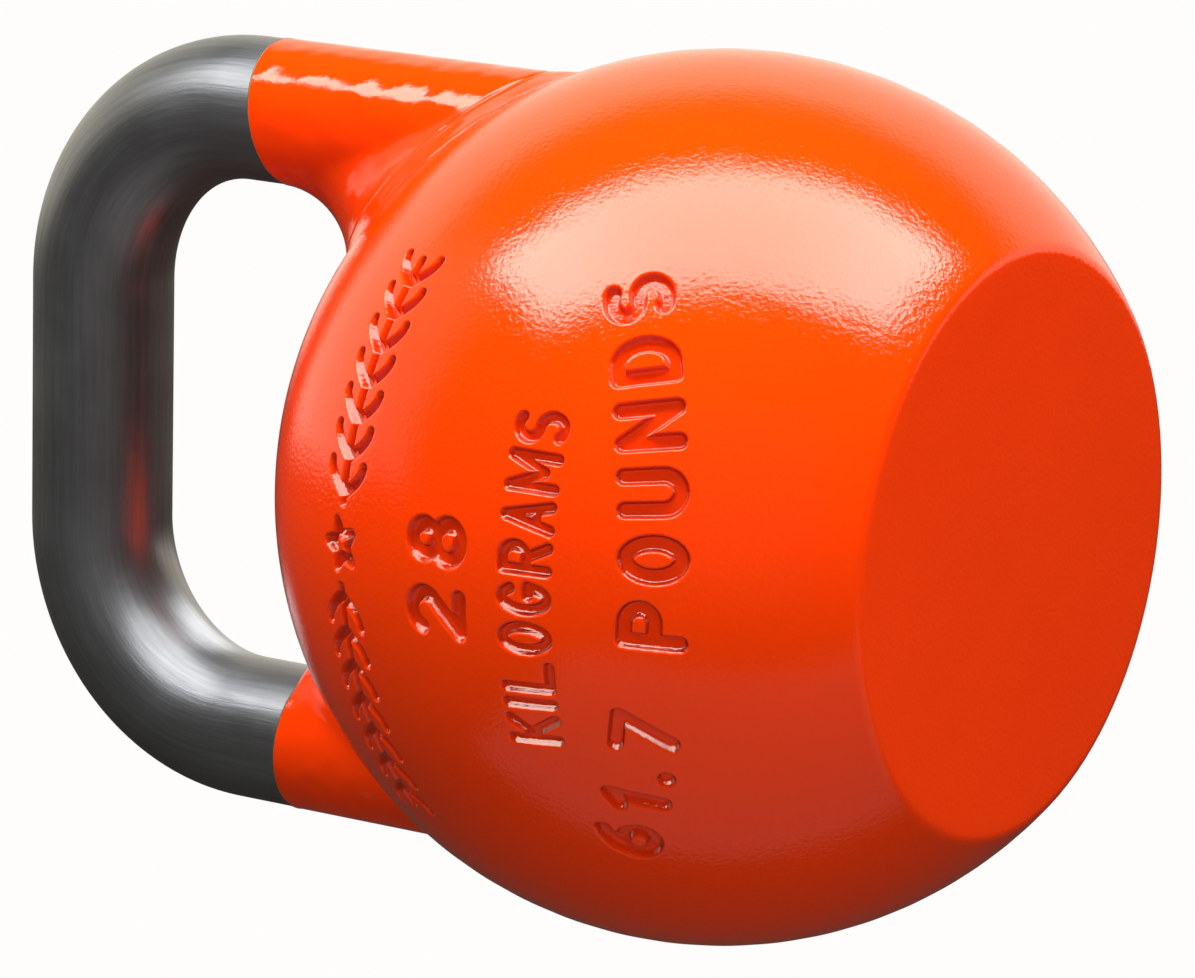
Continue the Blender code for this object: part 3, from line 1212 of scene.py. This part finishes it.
@dataclass(frozen=True)
class Studio:
    """A white sweep, a floor, and the lamps round the object, each kept to what it lights."""

    centre: Vector
    bend: Vector
    axes: StudioAxes = StudioAxes()
    lamp_distance: float = 0.9
    lamp_radiance: float = 8.0
    bounce_radiance: float = 0.22
    bend_radiance: float = 4.2
    flag_slope: float = 0.07
    flag_edge: float = 0.785
    flag_blur: float = 0.05
    lamp_colour: str = "fffdf0"
    sweep_colour: str = "fff6e0"
    seen_colour: str = "fefdfc"
    sweep_floor: float = 0.05
    floor_colour: str = "f2f1ef"
    floor_size: float = 3.0
    floor_drop: float = 0.2 * MM

    def softbox(
        self,
        name: str,
        across: tuple[float, float],
        deep: tuple[float, float],
        above: float,
        radiance: float,
    ) -> bpy.types.AreaLight:
        """Hang a rectangular lamp over or under the object.

        Args:
            name: the lamp's name.
            across: its ends along the studio's right, in lamp distances.
            deep: its ends along the studio's front, in lamp distances.
            above: +1 over the object, -1 under it.
            radiance: how bright its face is.

        Returns:
            The lamp.
        """
        reach = self.lamp_distance
        width, depth = (across[1] - across[0]) * reach, (deep[1] - deep[0]) * reach
        data = bpy.data.lights.new(name, "AREA")
        data.shape, data.size, data.size_y = "RECTANGLE", width, depth
        data.energy = radiance * pi * width * depth
        obj = bpy.data.objects.new(name, data)
        bpy.context.scene.collection.objects.link(obj)
        obj.visible_camera = False
        middle = self.axes.place(sum(across) / 2, above, sum(deep) / 2) * reach
        back = self.axes.up * above
        obj.matrix_world = Matrix.Translation(self.centre + middle) @ Matrix(
            (self.axes.right, back.cross(self.axes.right), back)
        ).transposed().to_4x4()
        return data

    def shape_glow(self, data: bpy.types.AreaLight) -> None:
        """Make the lamp's ends brighter than its middle, and flag its front edge on a slant.

        Args:
            data: the lamp.
        """
        data.use_nodes = True
        tree = data.node_tree
        place = add_node(tree, "ShaderNodeNewGeometry").outputs["Position"]
        offset = add_node(
            tree, "ShaderNodeVectorMath", {"operation": "SUBTRACT"}, {0: place}, {1: self.centre}
        )
        across, flagged = (
            add_node(
                tree, "ShaderNodeVectorMath", {"operation": "DOT_PRODUCT"},
                {0: offset.outputs["Vector"]}, {1: way / self.lamp_distance},
            ).outputs["Value"]
            for way in (self.axes.right, self.axes.front - self.axes.right * self.flag_slope)
        )
        middle = add_node(tree, "ShaderNodeMath", {"operation": "ABSOLUTE"}, {0: across})
        level = soft_edges(
            tree, (middle.outputs[0], 0.1, 0.8, 1.1, 1.35),
            (flagged, self.flag_edge, self.flag_edge + self.flag_blur, 1.0, 0.0),
        )
        emission = tree.nodes["Emission"]
        emission.inputs["Color"].default_value = linear(self.lamp_colour)
        tree.links.new(level, emission.inputs["Strength"])

    def diffuser(self, name: str, way: Vector, distance: float, size: float, level: float) -> None:
        """Hang a broad, soft lamp that is too even to show in the gloss.

        Args:
            name: the lamp's name.
            way: the direction from the object to the lamp.
            distance: how far off it hangs.
            size: the side of its square face.
            level: the light that reaches a surface that faces it, as a share of full white.
        """
        data = bpy.data.lights.new(name, "AREA")
        data.shape, data.size = "SQUARE", size
        data.energy = level * (pi * distance) ** 2
        obj = bpy.data.objects.new(name, data)
        bpy.context.scene.collection.objects.link(obj)
        obj.visible_camera = obj.visible_glossy = False
        back = way.normalized()
        obj.matrix_world = Matrix.Translation(
            self.centre + back * distance
        ) @ back.to_track_quat("Z", "Y").to_matrix().to_4x4()

    def sweep(self) -> None:
        """Light the world: a bright sweep behind and above, dark in front and below."""
        world = bpy.data.worlds.new("studio")
        bpy.context.scene.world = world
        world.use_nodes = True
        tree = world.node_tree
        background = tree.nodes["Background"]
        way = add_node(tree, "ShaderNodeTexCoord").outputs["Generated"]
        up, back, sideways = (
            add_node(
                tree, "ShaderNodeVectorMath", {"operation": "DOT_PRODUCT"}, {0: way}, {1: axis}
            ).outputs["Value"]
            for axis in (self.axes.up, -self.axes.front, self.axes.right)
        )
        turned = add_node(
            tree, "ShaderNodeMath", {"operation": "ARCTAN2"}, {0: up, 1: back}
        ).outputs[0]
        sheets = [
            soft_edges(
                tree, (turned, radians(low[0]), radians(low[1]), 0.0, level),
                (turned, radians(high[0]), radians(high[1]), 0.0, 1.0), (sideways, *side, 0.0, 1.0),
            )
            for low, high, side, level in (
                ((2, 9), (62, 48), (-0.985, -0.94), 0.92),
                ((15, 35), (112, 85), (-0.56, -0.8), 0.55),
            )
        ]
        both = add_node(
            tree, "ShaderNodeMath", {"operation": "MAXIMUM"}, {0: sheets[0], 1: sheets[1]}
        )
        glow = add_node(
            tree, "ShaderNodeMath", {"operation": "ADD"}, {0: both.outputs[0]},
            {1: self.sweep_floor},
        )
        seen = add_node(tree, "ShaderNodeLightPath").outputs["Is Camera Ray"]
        strength = add_node(
            tree, "ShaderNodeMix", {"data_type": "FLOAT"}, {0: seen, 2: glow.outputs[0]}, {3: 1.0}
        )
        tint = add_node(
            tree, "ShaderNodeMix", {"data_type": "RGBA"}, {0: seen},
            {6: linear(self.sweep_colour), 7: linear(self.seen_colour)},
        )
        tree.links.new(tint.outputs[2], background.inputs["Color"])
        tree.links.new(strength.outputs[0], background.inputs["Strength"])

    def floor(self) -> None:
        """Lay the pale floor, which is clear from below so that the base can be seen."""
        material, tree, shader = new_tree("pale_floor")
        shader.inputs["Base Color"].default_value = linear(self.floor_colour)
        shader.inputs["Roughness"].default_value = 0.8
        under = add_node(tree, "ShaderNodeNewGeometry").outputs["Backfacing"]
        clear = add_node(tree, "ShaderNodeBsdfTransparent")
        either = add_node(
            tree, "ShaderNodeMixShader", links={0: under, 1: shader.outputs[0], 2: clear.outputs[0]}
        )
        tree.links.new(either.outputs[0], tree.nodes["Material Output"].inputs["Surface"])
        mesh = bpy.data.meshes.new("floor")
        size = self.floor_size
        corners = [(-size, -size, 0), (size, -size, 0), (size, size, 0), (-size, size, 0)]
        mesh.from_pydata(corners, [], [(0, 1, 2, 3)])
        mesh.materials.append(material)
        obj = bpy.data.objects.new("floor", mesh)
        bpy.context.scene.collection.objects.link(obj)
        obj.location.z = -self.floor_drop
        for ray in ("diffuse", "glossy", "transmission", "shadow"):
            setattr(obj, f"visible_{ray}", False)

    def link(self, lamp: str, lit: bool, *names: str) -> None:
        """Limit a lamp to some pieces, or keep it off them.

        Args:
            lamp: the lamp's name.
            lit: True if it lights only these pieces, False if it leaves them out.
            names: the pieces.
        """
        group = bpy.data.collections.new(f"{lamp}_receivers")
        for name in names:
            group.objects.link(bpy.data.objects[name])
        for item in group.collection_objects:
            item.light_linking.link_state = "INCLUDE" if lit else "EXCLUDE"
        bpy.data.objects[lamp].light_linking.receiver_collection = group

    def hang_lamps(self) -> None:
        """Hang the lamps and say what each one lights."""
        self.shape_glow(
            self.softbox("long_softbox", (-1.04, 0.98), (0.05, 0.88), 1, self.lamp_radiance)
        )
        self.softbox("low_bounce", (-1.0, 2.4), (-0.15, 1.1), -1, self.bounce_radiance)
        bend = replace(self, centre=self.bend, lamp_distance=0.5)
        bend.softbox("bend_softbox", (-1.3, 0.45), (0.08, 2.3), 1, self.bend_radiance)
        bend.softbox("bend_backlight", (0.2, 1.1), (-1.4, -0.02), 1, self.bend_radiance)
        for name, way, distance, size, level in (
            ("front_fill", self.axes.place(0.02, 0.0, 1.0), 1.4, 1.2, 0.6),
            ("back_fill", self.axes.place(-0.5, 0.45, -0.74), 1.6, 1.2, 1.2),
            ("rear_fill", self.axes.place(0.12, -0.42, -0.86), 1.6, 1.2, 0.4),
            ("floor_lamp", Vector((0.15, 0.1, 1.0)), 1.7, 1.5, 0.8),
        ):
            self.diffuser(name, way, distance, size, level)
        self.link("long_softbox", False, "floor", "bare_grip")
        self.link("bend_softbox", True, "bare_grip")
        self.link("bend_backlight", True, "bare_grip")
        self.link("floor_lamp", True, "floor")
        for name in ("low_bounce", "front_fill", "back_fill", "rear_fill"):
            self.link(name, False, "floor")

    def build(self) -> None:
        """Set the studio up."""
        self.sweep()
        self.floor()
        self.hang_lamps()
        Camera().build()
        bpy.context.scene.view_settings.view_transform = "Standard"


# height in metres and slope of each horn's paint line, and how far the bar runs on below it
PAINT_LINES = {Side.LEFT: (0.1960, 0.05), Side.RIGHT: (0.2055, 0.16)}
GRIP_RUN_IN = 12 * MM


def main() -> None:
    """Build the kettlebell piece by piece, then the studio round it."""
    logging.basicConfig(level=logging.INFO, format="%(name)s: %(message)s")
    paint, steel, mortar = SprayedEnamel().build(), GroundSteel().build(), CastMortar().build()
    runs = SprayedEnamel(
        "orange_enamel_with_runs", wave_mm=10.0, wave_height_mm=0.75, peel_height_mm=0.05
    ).build()
    seam = MaskedEdge().build()
    ball = Ball.from_frame()
    ball.dress(paint)
    low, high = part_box("grip_bar")
    bar_radius = (high.y - low.y) / 2
    offset = (high.x - low.x) / 2 - bar_radius
    for side, (height, tilt) in PAINT_LINES.items():
        Horn(side, ball, offset, bar_radius, height, tilt).dress(runs, seam)
    feet = tuple(PAINT_LINES[side][0] - GRIP_RUN_IN for side in (Side.LEFT, Side.RIGHT))
    Grip(bar_radius, offset, high.z - bar_radius, feet).dress(steel)
    filling = bpy.data.objects["ballast"].data.materials
    filling.clear()
    filling.append(mortar)
    # nothing mirrors the ball, its marks included, so that the bare bar stays grey
    bpy.data.objects["ball"].visible_glossy = False
    # inside the left bend, where the two bend lamps aim
    bend = Vector((-0.8 * offset, -0.6 * bar_radius, high.z - 3.2 * bar_radius))
    Studio(Vector((0, 0, ball.centre_height)), bend).build()


if __name__ == "__main__":
    main()
